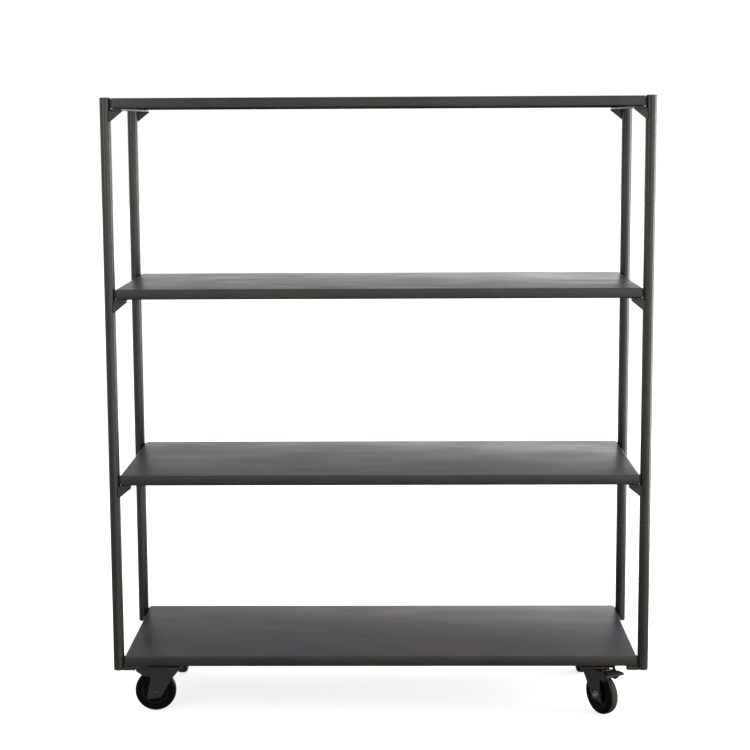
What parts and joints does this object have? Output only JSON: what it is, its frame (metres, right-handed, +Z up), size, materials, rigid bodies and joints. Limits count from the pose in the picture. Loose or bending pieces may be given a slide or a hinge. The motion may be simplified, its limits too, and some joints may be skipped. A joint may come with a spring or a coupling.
{
  "type": "book cart",
  "caption": "Tall rolling steel rack with flat folded-sheet shelves between round tube posts, on swivel casters with foot brakes.",
  "frame": {"origin": "floor level, middle of the footprint of the four posts", "axes": "+Z up, +X to the right along the shelves, -Y towards the front"},
  "size_m": [1.6, 0.5, 1.8603],
  "materials": {
    "tube_steel": "semi-matte dark gunmetal over steel tube",
    "shelf_steel": "mottled antique gunmetal, semi-matte, on folded sheet",
    "bracket_steel": "semi-matte dark gunmetal",
    "cap_plastic": "fine matte black moulding",
    "caster_steel": "dark grey pressed steel, satin",
    "hub_plastic": "black moulded hub",
    "tyre_rubber": "dark rubber tread, slightly dusty",
    "axle_steel": "zinc plated bolt"
  },
  "bodies": {
    "frame": {"post_front_left": "tube_steel", "post_cap_front_left": "cap_plastic", "post_front_right": "tube_steel", "post_cap_front_right": "cap_plastic", "post_rear_left": "tube_steel", "post_cap_rear_left": "cap_plastic", "post_rear_right": "tube_steel", "post_cap_rear_right": "cap_plastic", "shelf_bottom": "shelf_steel", "bearer_bottom_left": "bracket_steel", "gusset_bottom_front_left": "bracket_steel", "gusset_bottom_rear_left": "bracket_steel", "bearer_bottom_right": "bracket_steel", "gusset_bottom_front_right": "bracket_steel", "gusset_bottom_rear_right": "bracket_steel", "shelf_lower": "shelf_steel", "bearer_lower_left": "bracket_steel", "gusset_lower_front_left": "bracket_steel", "gusset_lower_rear_left": "bracket_steel", "bearer_lower_right": "bracket_steel", "gusset_lower_front_right": "bracket_steel", "gusset_lower_rear_right": "bracket_steel", "shelf_upper": "shelf_steel", "bearer_upper_left": "bracket_steel", "gusset_upper_front_left": "bracket_steel", "gusset_upper_rear_left": "bracket_steel", "bearer_upper_right": "bracket_steel", "gusset_upper_front_right": "bracket_steel", "gusset_upper_rear_right": "bracket_steel", "shelf_top": "shelf_steel", "bearer_top_left": "bracket_steel", "gusset_top_front_left": "bracket_steel", "gusset_top_rear_left": "bracket_steel", "bearer_top_right": "bracket_steel", "gusset_top_front_right": "bracket_steel", "gusset_top_rear_right": "bracket_steel", "caster_channel_left": "bracket_steel", "caster_channel_right": "bracket_steel", "caster_plate_front_left": "caster_steel", "caster_plate_front_right": "caster_steel", "caster_plate_rear_left": "caster_steel", "caster_plate_rear_right": "caster_steel"},
    "swivel_front_left": {"caster_fork_front_left": "caster_steel", "caster_axle_front_left": "axle_steel"},
    "wheel_front_left": {"wheel_hub_front_left": "hub_plastic", "wheel_tyre_front_left": "tyre_rubber"},
    "pedal_front_left": {"brake_pedal_front_left": "caster_steel"},
    "swivel_front_right": {"caster_fork_front_right": "caster_steel", "caster_axle_front_right": "axle_steel"},
    "wheel_front_right": {"wheel_hub_front_right": "hub_plastic", "wheel_tyre_front_right": "tyre_rubber"},
    "pedal_front_right": {"brake_pedal_front_right": "caster_steel"},
    "swivel_rear_left": {"caster_fork_rear_left": "caster_steel", "caster_axle_rear_left": "axle_steel"},
    "wheel_rear_left": {"wheel_hub_rear_left": "hub_plastic", "wheel_tyre_rear_left": "tyre_rubber"},
    "swivel_rear_right": {"caster_fork_rear_right": "caster_steel", "caster_axle_rear_right": "axle_steel"},
    "wheel_rear_right": {"wheel_hub_rear_right": "hub_plastic", "wheel_tyre_rear_right": "tyre_rubber"}
  },
  "joints": [
    {"name": "swivel_front_left", "type": "hinge", "parent": "frame", "child": "swivel_front_left", "pos_m": [-0.651, -0.147, 0.147], "axis": [0, 0, 1], "continuous": true},
    {"name": "roll_front_left", "type": "hinge", "parent": "swivel_front_left", "child": "wheel_front_left", "pos_m": [-0.689, -0.147, 0.0625], "axis": [0, -1, 0], "continuous": true},
    {"name": "brake_front_left", "type": "hinge", "parent": "swivel_front_left", "child": "pedal_front_left", "pos_m": [-0.719, -0.147, 0.139], "axis": [0, -1, 0], "range_deg": [0, 12]},
    {"name": "swivel_front_right", "type": "hinge", "parent": "frame", "child": "swivel_front_right", "pos_m": [0.651, -0.147, 0.147], "axis": [0, 0, 1], "continuous": true},
    {"name": "roll_front_right", "type": "hinge", "parent": "swivel_front_right", "child": "wheel_front_right", "pos_m": [0.67114, -0.17923, 0.0625], "axis": [0.848, 0.5299, 0], "continuous": true},
    {"name": "brake_front_right", "type": "hinge", "parent": "swivel_front_right", "child": "pedal_front_right", "pos_m": [0.68703, -0.20467, 0.139], "axis": [0.848, 0.5299, 0], "range_deg": [0, 12]},
    {"name": "swivel_rear_left", "type": "hinge", "parent": "frame", "child": "swivel_rear_left", "pos_m": [-0.651, 0.147, 0.147], "axis": [0, 0, 1], "continuous": true},
    {"name": "roll_rear_left", "type": "hinge", "parent": "swivel_rear_left", "child": "wheel_rear_left", "pos_m": [-0.651, 0.185, 0.0625], "axis": [-1, 0, 0], "continuous": true},
    {"name": "swivel_rear_right", "type": "hinge", "parent": "frame", "child": "swivel_rear_right", "pos_m": [0.651, 0.147, 0.147], "axis": [0, 0, 1], "continuous": true},
    {"name": "roll_rear_right", "type": "hinge", "parent": "swivel_rear_right", "child": "wheel_rear_right", "pos_m": [0.651, 0.185, 0.0625], "axis": [-1, 0, 0], "continuous": true}
  ]
}
